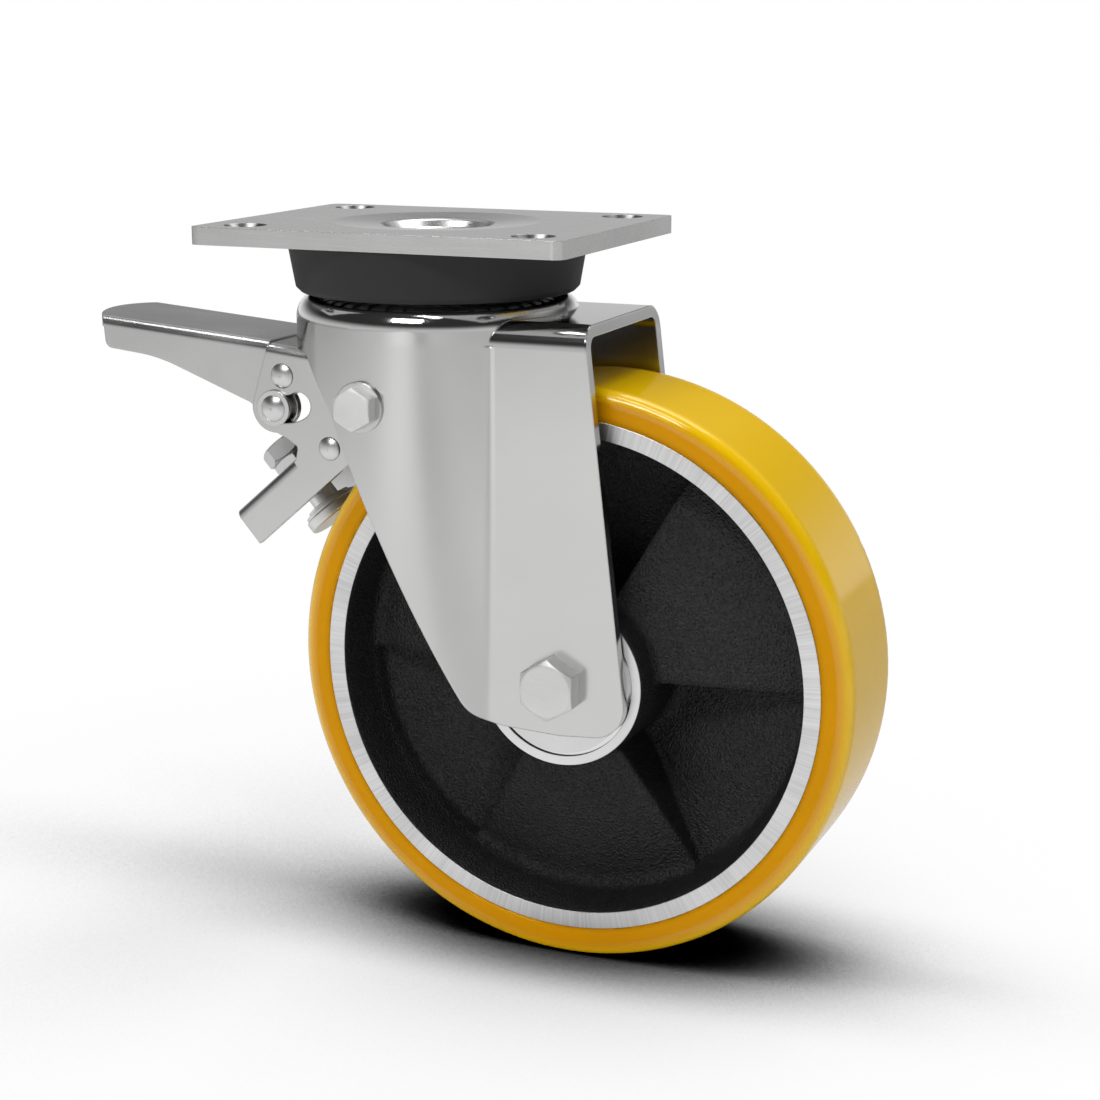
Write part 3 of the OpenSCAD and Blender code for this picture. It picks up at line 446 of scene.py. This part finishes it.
@dataclass(frozen=True)
class Elastomer:
    """A rubber or cast elastomer finish.

    Attributes:
        name: Name of the material.
        colour: Its colour.
        deep: The colour of its darker clouds.
        rough: Middle roughness.
        spread: How far clouds move the roughness.
        skin_scale: Bumps per metre.
        depth: Depth of the bumps in metres.
        coat: Weight of the clear coat.
        coat_rough: Roughness of the coat.
        edge_r: Radius that sharp edges look rounded to, in metres.
        shine: Specular level, 0.5 for a plain dielectric.
        crown: The colour of the wheel's running face, where it differs; the coat is then on the corner alone.
        crown_zone: Distances from the axle between which the colour changes.
        corner_start: Distances from the axle between which the coat begins.
        corner_end: Distances from the axle between which it ends.
        tint: The colour of its mirror image when seen straight on.
        speckle: How far the skin's bumps lighten and darken the colour.
    """

    name: str
    colour: Colour
    deep: Colour
    rough: float
    spread: float = 0.04
    skin_scale: float = 500.0
    depth: float = 4e-6
    coat: float = 0.0
    coat_rough: float = 0.06
    edge_r: float = 0.0008
    shine: float = 0.5
    crown: Colour | None = None
    crown_zone: tuple[float, float] = (0.0950, 0.0997)
    corner_start: tuple[float, float] = (0.0945, 0.0955)
    corner_end: tuple[float, float] = (0.0996, 0.0999)
    tint: Colour = (1.0, 1.0, 1.0)
    speckle: float = 0.0

    def material(self) -> bpy.types.Material:
        """Builds the material.

        Returns:
            The new material.
        """
        material, bench, shader, place = start_material(self.name)
        skin = bench.node("Group", node_tree=cast_skin(), Scale=self.skin_scale, Place=place)
        cloud = skin.outputs["Cloud"]
        colour = bench.mix(bench.ramp(cloud, 0.35, 0.65), self.deep, self.colour)
        coat = self.coat
        if self.crown:
            radius, _, _ = from_axle(bench)
            colour = bench.mix(bench.ramp(radius, *self.crown_zone), colour, self.crown)
            starts, ends = bench.ramp(radius, *self.corner_start), bench.ramp(radius, *self.corner_end, 1.0, 0.0)
            coat = bench.math("MULTIPLY", bench.math("MULTIPLY", starts, ends), self.coat)
        if self.speckle:
            grain = bench.ramp(skin.outputs["Height"], 0.55, 1.0, 1.0 - self.speckle, 1.0 + self.speckle, False)
            colour = bench.vector("SCALE", colour, scale=grain)
        bench.feed(shader.inputs["Base Color"], colour)
        bench.feed(shader.inputs["Roughness"],
                   bench.ramp(cloud, 0.3, 0.7, self.rough - self.spread, self.rough + self.spread, False))
        shader.inputs["Specular IOR Level"].default_value = self.shine
        shader.inputs["Specular Tint"].default_value = (*self.tint, 1.0)
        bench.feed(shader.inputs["Coat Weight"], coat)
        shader.inputs["Coat Roughness"].default_value = self.coat_rough
        add_bump(bench, shader, skin.outputs["Height"], self.depth, self.edge_r)
        return material


def dress(material: bpy.types.Material, *nodes: str) -> None:
    """Gives CAD nodes a material in place of their own.

    Args:
        material: The material.
        nodes: Names of the CAD nodes.
    """
    for name in nodes:
        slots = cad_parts[name].data.materials
        slots.clear()
        slots.append(material)
        log.info("dressed %s in %s", name, material.name)


def keep_piece(name: str, shape: bmesh.types.BMesh, body: str, material: bpy.types.Material,
               smooth_deg: float = 35.0) -> bpy.types.Object:
    """Turns a bmesh into a finished piece that rides on a body.

    Args:
        name: The piece's name.
        shape: Its mesh, in the row frame; it is freed here.
        body: The CAD body that it moves with.
        material: Its material.
        smooth_deg: Edges flatter than this are shaded smooth.

    Returns:
        The new object.
    """
    bmesh.ops.remove_doubles(shape, verts=shape.verts, dist=1e-7)
    bmesh.ops.recalc_face_normals(shape, faces=shape.faces)
    limit = math.radians(smooth_deg)
    for face in shape.faces:
        face.smooth = True
    for edge in shape.edges:
        edge.smooth = len(edge.link_faces) == 2 and edge.calc_face_angle(0.0) < limit
    mesh = bpy.data.meshes.new(name)
    shape.to_mesh(mesh)
    shape.free()
    mesh.materials.append(material)
    piece = bpy.data.objects.new(name, mesh)
    bpy.context.scene.collection.objects.link(piece)
    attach(piece, body)
    log.info("%s: %d faces on %s", name, len(mesh.polygons), body)
    return piece


def turned(profile: Sequence[tuple[float, float]], steps: int = 160) -> bmesh.types.BMesh:
    """Turns a closed profile about the wheel's axle.

    Args:
        profile: Points as radius and Y place, in metres.
        steps: Number of steps round the axle.

    Returns:
        The turned mesh.
    """
    shape = bmesh.new()
    corners = [shape.verts.new(AXLE + Vector((r, y, 0.0))) for r, y in profile]
    edges = [shape.edges.new((a, b)) for a, b in zip(corners, corners[1:] + corners[:1])]
    bmesh.ops.spin(shape, geom=corners + edges, cent=AXLE, axis=(0.0, 1.0, 0.0),
                   angle=math.tau, steps=steps, use_merge=True)
    return shape


@dataclass
class TopPlate:
    """The mounting plate with the swivel's upper parts."""

    zinc: Metal = Metal("plate_zinc", (0.60, 0.60, 0.595), rough=0.27, spread=0.06, shade=0.06, grain=Grain.ALONG_X,
                        pitch=3200.0, depth=4e-6, edge_r=0.0003, paint_hole_shade=True)
    seal: Elastomer = Elastomer("seal_rubber", (0.024, 0.024, 0.025), (0.020, 0.020, 0.021), rough=0.60, spread=0.05,
                                skin_scale=900.0, depth=6e-6, shine=0.3)
    hard: Metal = Metal("hard_steel", (0.38, 0.38, 0.39), rough=0.34, spread=0.08, shade=0.1, grain=Grain.ALONG_Z)

    def build(self) -> None:
        """Dresses the plate, its seal and the rings under it."""
        dress(self.zinc.material(), "top_plate")
        dress(self.seal.material(), "dust_seal")
        dress(self.hard.material(), "kingpin", "upper_race", "swivel_lock_ring", "lower_cone", "head_race",
              "head_lower_race", "lock_pawl", "axle_sleeve", "bearing_spacer", "pivot_spacers", "bracket_bush",
              "pedal_cam")


@dataclass
class Fork:
    """The pressed fork with its bolts."""

    sheet: Metal = Metal("fork_zinc", (0.58, 0.58, 0.575), rough=0.20, spread=0.012, shade=0.015, grain=Grain.NONE,
                         pitch=420.0, depth=2e-6, edge_r=0.0008, bright_z=-0.034)
    bolt: Metal = Metal("bolt_zinc", (0.76, 0.76, 0.755), rough=0.60, spread=0.10, shade=0.08, grain=Grain.NONE,
                        pitch=500.0, depth=8e-5, edge_r=0.0007)
    balls: Metal = Metal("ground_steel", (0.72, 0.72, 0.72), rough=0.16, spread=0.03, shade=0.02, grain=Grain.NONE,
                         pitch=2500.0, depth=1e-6, edge_r=0.0)

    def build(self) -> None:
        """Dresses the fork, the bolts through it and the balls."""
        dress(self.sheet.material(), "fork", "pivot_collars")
        dress(self.bolt.material(), "axle_bolt", "axle_washer", "axle_nut", "brake_pivot_bolt", "brake_pivot_nut",
              "kingpin_washer", "kingpin_nut")
        dress(self.balls.material(), "upper_balls", "lower_balls", "bearing_balls", "bearing_inner_rings",
              "bearing_outer_rings")


@dataclass
class Wheel:
    """The wheel with its machined faces, tread and caps."""

    rim_in: float = 83.8 * MM
    rim_out: float = 89.6 * MM
    rim_y: float = 25.2 * MM
    hub_in: float = 26.0 * MM
    hub_out: float = 29.2 * MM
    hub_y: float = 30.0 * MM
    skin: float = 0.12 * MM
    tread: Elastomer = Elastomer("tread_amber", (0.66, 0.285, 0.001), (0.62, 0.265, 0.001), rough=0.09, spread=0.02,
                                 skin_scale=160.0, depth=2e-6, coat=0.9, edge_r=0.004, crown=(0.88, 0.54, 0.002),
                                 tint=(1.0, 0.62, 0.10))
    core: Elastomer = Elastomer("core_black", (0.012, 0.012, 0.013), (0.008, 0.008, 0.009), rough=0.45, spread=0.05,
                                skin_scale=1300.0, depth=7e-4, edge_r=0.0035, shine=0.45, speckle=0.8)
    shield: Elastomer = Elastomer("shield_rubber", (0.012, 0.012, 0.012), (0.010, 0.010, 0.010), rough=0.6,
                                  spread=0.05)
    face: Metal = Metal("turned_face", (0.67, 0.67, 0.67), rough=0.34, spread=0.08, shade=0.16, grain=Grain.RADIAL,
                        pitch=1300.0, depth=3e-6, edge_r=0.0, pull=0.6)
    hub_face: Metal = Metal("hub_steel", (0.74, 0.74, 0.74), rough=0.36, spread=0.06, shade=0.05, grain=Grain.TURNED,
                            pitch=3000.0, depth=3e-6, edge_r=0.0, pull=0.6)
    cap: Metal = Metal("cap_steel", (0.66, 0.66, 0.66), rough=0.32, spread=0.06, shade=0.04, grain=Grain.TURNED,
                       pitch=3000.0, depth=2e-6, edge_r=0.0, pull=0.5)

    def build(self) -> None:
        """Dresses the wheel and adds its machined faces."""
        dress(self.tread.material(), "tread")
        dress(self.core.material(), "wheel_core")
        dress(self.shield.material(), "bearing_shields")
        dress(self.cap.material(), "bearing_caps")
        face = self.face.material()
        hub_face = self.hub_face.material()
        for word, side in (("near", -1.0), ("far", 1.0)):
            self.face_ring(f"rim_face_{word}", self.rim_in, self.rim_out, side, self.rim_y, face)
            self.face_ring(f"hub_face_{word}", self.hub_in, self.hub_out, side, self.hub_y, hub_face)

    def face_ring(self, name: str, inner: float, outer: float, side: float, y: float,
                  material: bpy.types.Material) -> None:
        """Adds one machined face as a thin ring on the casting.

        Args:
            name: The piece's name.
            inner: Inner radius.
            outer: Outer radius.
            side: -1 for the near side, 1 for the far side.
            y: Distance of the casting's face from the middle plane.
            material: Its material.
        """
        low, high = side * (y - self.skin), side * (y + self.skin)
        lip = self.skin
        profile = [(inner, low), (outer, low), (outer, side * y), (outer - lip, high), (inner + lip, high),
                   (inner, side * y)]
        keep_piece(name, turned(profile), "wheel", material)


@dataclass
class Brake:
    """The brake's bracket, pedal, screw and foot."""

    sheet: Metal = Metal("lever_zinc", (0.57, 0.57, 0.565), rough=0.25, spread=0.04, shade=0.03, grain=Grain.NONE,
                         pitch=420.0, depth=2e-6, edge_r=0.0007)
    rivet: Metal = Metal("rivet_zinc", (0.68, 0.68, 0.675), rough=0.38, spread=0.07, shade=0.06, grain=Grain.NONE,
                         pitch=900.0, depth=1e-5, edge_r=0.0005)
    wire: Metal = Metal("spring_steel", (0.62, 0.62, 0.62), rough=0.22, spread=0.04, shade=0.03, grain=Grain.ALONG_X,
                        pitch=1200.0, depth=1e-6, edge_r=0.0)

    def build(self) -> None:
        """Dresses the brake."""
        dress(self.sheet.material(), "brake_pedal", "brake_bracket")
        dress(self.rivet.material(), "bracket_tie", "hinge_pin", "slot_studs", "slot_washers", "adjusting_screw",
              "adjusting_nut", "foot_washers", "brake_foot")
        dress(self.wire.material(), "pedal_spring")


@dataclass(frozen=True)
class Zone:
    """A soft change of a strength from one place to another.

    Attributes:
        start: Where it begins.
        end: Where it ends.
        before: The strength at the start.
        after: The strength at the end.
    """

    start: float
    end: float
    before: float
    after: float

    def along(self, bench: Bench, value: object) -> bpy.types.NodeSocket:
        """Gives the strength along a value.

        Args:
            bench: The bench that the node goes to.
            value: Socket with the place, length or share.

        Returns:
            The strength's socket.
        """
        return bench.ramp(value, self.start, self.end, self.before, self.after)


@dataclass(frozen=True)
class Lamp:
    """One soft box.

    Attributes:
        name: Its name.
        at: Its place.
        power: Its power in watts.
        size: Its width and height in metres.
    """

    name: str
    at: Place
    power: float
    size: tuple[float, float]

    def hang(self, aim: Place) -> None:
        """Hangs the soft box.

        Args:
            aim: The place that it points at.
        """
        data = bpy.data.lights.new(self.name, "AREA")
        data.energy = self.power
        data.shape = "RECTANGLE"
        data.size, data.size_y = self.size
        lamp = bpy.data.objects.new(self.name, data)
        lamp.location = self.at
        point_at(lamp, aim)
        bpy.context.scene.collection.objects.link(lamp)


def point_at(thing: bpy.types.Object, aim: Place) -> None:
    """Turns a camera or lamp to a place.

    Args:
        thing: The camera or lamp, already in its own place.
        aim: The place that it looks at.
    """
    thing.rotation_mode = "QUATERNION"
    thing.rotation_quaternion = (Vector(aim) - thing.location).to_track_quat("-Z", "Y")


@dataclass
class Studio:
    """The floor, lights, world and camera."""

    floor_z: float = -0.25
    floor_r: float = 6.0
    camera_at: Place = (0.33294, -0.70109, 0.06717)
    camera_to: Place = (0.041685, 0.0, -0.1123)
    lens: float = 73.46
    sensor: float = 36.0
    # Painted shadow under the castor: how far it reaches, its rays and its shape.
    shadow_reach: float = 0.34
    shadow_rays: int = 8
    shadow_open: Zone = Zone(0.30, 0.93, 0.0, 1.0)
    core_reach: float = 0.119
    core_rays: int = 5
    core_open: Zone = Zone(0.1, 0.9, 0.0, 1.0)
    wheel_weight: Zone = Zone(0.0, 0.065, 2.2, 0.36)
    pedal_weight: Zone = Zone(-0.12, -0.02, 1.7, 0.0)
    # Painted pool of light and painted greyer zones on the floor, seen only in the metal's reflections.
    pool_x: float = -0.16
    pool_aside: Zone = Zone(0.02, 0.50, 0.34, 0.0)
    pool_front: Zone = Zone(-1.0, -0.6, 1.0, 0.0)
    dip_in: Zone = Zone(0.12, 0.24, 0.0, 0.22)
    dip_out: Zone = Zone(0.34, 0.60, 0.0, 0.22)
    floor_right: Zone = Zone(0.5, 1.4, 1.0, 0.85)
    floor_left: Zone = Zone(-2.2, -0.5, 0.6, 1.0)
    floor_far: Zone = Zone(0.6, 1.3, 1.0, 0.8)
    floor_behind: Zone = Zone(0.0, 0.12, 1.0, 0.68)
    room_light: float = 0.42
    room_low: Zone = Zone(0.0, 0.34, 0.80, 0.04)
    room_back: Zone = Zone(0.0, 0.7, 0.0, 1.0)
    back_glow: Zone = Zone(0.25, 0.6, 0.0, 0.55)
    back_horizon: Zone = Zone(0.0, 0.25, 0.16, 0.0)
    lamp_aim: Place = (0.03, 0.0, -0.12)
    lamps: tuple[Lamp, ...] = (Lamp("key", (-0.10, -1.20, 1.05), 9.0, (0.60, 0.34)),
                               Lamp("strip", (-0.18, -0.32, 1.18), 7.0, (1.25, 0.22)),
                               Lamp("top", (0.05, 0.60, 1.10), 6.0, (0.9, 0.6)))

    def build(self) -> None:
        """Makes the whole studio."""
        self.place_camera()
        self.lay_floor()
        self.hang_world()
        for lamp in self.lamps:
            lamp.hang(self.lamp_aim)
        bpy.context.scene.view_settings.view_transform = "Standard"

    def place_camera(self) -> None:
        """Puts the camera where the photograph was taken from."""
        data = bpy.data.cameras.new("camera")
        data.lens = self.lens
        data.sensor_width = self.sensor
        data.clip_start, data.clip_end = 0.01, 50.0
        camera = bpy.data.objects.new("camera", data)
        camera.location = self.camera_at
        point_at(camera, self.camera_to)
        bpy.context.scene.collection.objects.link(camera)
        bpy.context.scene.camera = camera

    def lay_floor(self) -> None:
        """Lays a pale floor with a painted shadow under the castor."""
        shape = bmesh.new()
        bmesh.ops.create_circle(shape, cap_ends=True, radius=self.floor_r, segments=96,
                                matrix=Matrix.Translation((0.0, 0.0, self.floor_z)))
        mesh = bpy.data.meshes.new("floor")
        shape.to_mesh(mesh)
        shape.free()
        floor = bpy.data.objects.new("floor", mesh)
        bpy.context.scene.collection.objects.link(floor)
        mesh.materials.append(self.floor_white())

    def floor_white(self) -> bpy.types.Material:
        """Builds a floor that glows plain white, with a painted shadow where the castor stands close over it.

        Returns:
            The new material.
        """
        material, bench, shader, place = start_material("floor_white")
        shader.inputs["Base Color"].default_value = (0.8, 0.8, 0.8, 1.0)
        shader.inputs["Roughness"].default_value = 0.9
        shader.inputs["Specular IOR Level"].default_value = 0.1
        path = bench.node("LightPath").outputs
        seen = bench.math("ADD", path["Is Camera Ray"], path["Is Glossy Ray"])
        seen = bench.math("ADD", seen, path["Is Transmission Ray"], clamp=True)
        # For mirrored rays the floor's glow carries a painted pool of light and painted greyer zones.
        strength = bench.node("Mix", data_type="FLOAT", clamp_factor=True)
        bench.feed(strength.inputs[0], path["Is Glossy Ray"])
        bench.feed(strength.inputs[2], 1.0)
        bench.feed(strength.inputs[3], self.painted_light_pool(bench, place))
        # Painted shadow: the floor's glow is darkened by the occlusion under the castor.
        lit = bench.math("MULTIPLY", self.contact_shade(bench, place), strength.outputs[0])
        glow = bench.node("Emission", Strength=lit)
        both = bench.node("MixShader", Fac=seen)
        bench.feed(both.inputs[1], shader.outputs["BSDF"])
        bench.feed(both.inputs[2], glow.outputs["Emission"])
        out = next(n for n in material.node_tree.nodes if n.type == "OUTPUT_MATERIAL")
        bench.feed(out.inputs["Surface"], both.outputs["Shader"])
        return material

    def contact_shade(self, bench: Bench, place: bpy.types.NodeSocket) -> bpy.types.NodeSocket:
        """The painted shadow under the castor, from occlusion and shaped by place: deep along the wheel, softer to
        its sides, longer under the pedal.

        Args:
            bench: The floor material's bench.
            place: Its Object coordinates.

        Returns:
            Socket that is 1 on the open floor and 0 under the wheel.
        """
        wide = bench.node("AmbientOcclusion", samples=self.shadow_rays, Distance=self.shadow_reach)
        near = bench.node("AmbientOcclusion", samples=self.core_rays, Distance=self.core_reach)
        shade = bench.math("MULTIPLY", self.shadow_open.along(bench, wide.outputs["AO"]),
                           self.core_open.along(bench, near.outputs["AO"]))
        parts = bench.node("SeparateXYZ", Vector=place).outputs
        weight = bench.math("ADD", self.wheel_weight.along(bench, bench.math("ABSOLUTE", parts["Y"])),
                            self.pedal_weight.along(bench, parts["X"]))
        return bench.math("POWER", shade, weight)

    def painted_light_pool(self, bench: Bench, place: bpy.types.NodeSocket) -> bpy.types.NodeSocket:
        """The painted brightness of the floor as metal mirrors it: a painted pool of light in front, painted greyer
        zones round about.

        Args:
            bench: The floor material's bench.
            place: Its Object coordinates.

        Returns:
            Socket with the strength.
        """
        parts = bench.node("SeparateXYZ", Vector=place).outputs
        aside = bench.math("ABSOLUTE", bench.math("SUBTRACT", parts["X"], self.pool_x))
        pool = bench.math("MULTIPLY", self.pool_aside.along(bench, aside), self.pool_front.along(bench, parts["Y"]))
        dip = bench.math("SUBTRACT", self.dip_in.along(bench, parts["X"]), self.dip_out.along(bench, parts["X"]))
        right = bench.math("SUBTRACT", self.floor_right.along(bench, parts["X"]), dip)
        across = bench.math("MULTIPLY", right, self.floor_left.along(bench, parts["X"]))
        away = bench.math("MULTIPLY", self.floor_far.along(bench, bench.vector("LENGTH", place)),
                          self.floor_behind.along(bench, parts["Y"]))
        return bench.math("ADD", bench.math("MULTIPLY", across, away), pool)

    def mirrored_room(self, bench: Bench) -> bpy.types.NodeSocket:
        """The room as metal mirrors it: pale low down, black over that, with a glow high up at the back.

        Args:
            bench: The world's bench.

        Returns:
            Socket with the strength.
        """
        parts = bench.node("SeparateXYZ", Vector=bench.node("TexCoord").outputs["Object"]).outputs
        back = self.room_back.along(bench, parts["Y"])
        glow = bench.math("MULTIPLY", self.back_glow.along(bench, parts["Z"]), back)
        horizon = bench.math("MULTIPLY", self.back_horizon.along(bench, parts["Z"]), back)
        return bench.math("ADD", bench.math("ADD", self.room_low.along(bench, parts["Z"]), glow), horizon)

    def hang_world(self) -> None:
        """Makes the white room, with the dark and light zones that the metal mirrors."""
        world = bpy.data.worlds.new("room")
        world.use_nodes = True
        world.node_tree.nodes.clear()
        bench = Bench(world.node_tree)
        path = bench.node("LightPath").outputs
        unseen = bench.node("Mix", data_type="FLOAT", clamp_factor=True)
        bench.feed(unseen.inputs[0], path["Is Glossy Ray"])
        bench.feed(unseen.inputs[2], self.room_light)
        bench.feed(unseen.inputs[3], self.mirrored_room(bench))
        final = bench.node("Mix", data_type="FLOAT", clamp_factor=True)
        bench.feed(final.inputs[0], bench.math("ADD", path["Is Camera Ray"], path["Is Transmission Ray"], clamp=True))
        bench.feed(final.inputs[2], unseen.outputs[0])
        bench.feed(final.inputs[3], 1.0)
        white = bench.node("Background", Color=(1.0, 1.0, 1.0, 1.0), Strength=final.outputs[0])
        bench.node("OutputWorld", Surface=white.outputs["Background"])
        bpy.context.scene.world = world


def main() -> None:
    """Builds the castor's looks in order."""
    logging.basicConfig(level=logging.INFO, format="%(name)s: %(message)s")
    for part in (Studio(), TopPlate(), Fork(), Wheel(), Brake()):
        log.info("building %s", type(part).__name__)
        part.build()


if __name__ == "__main__":
    main()
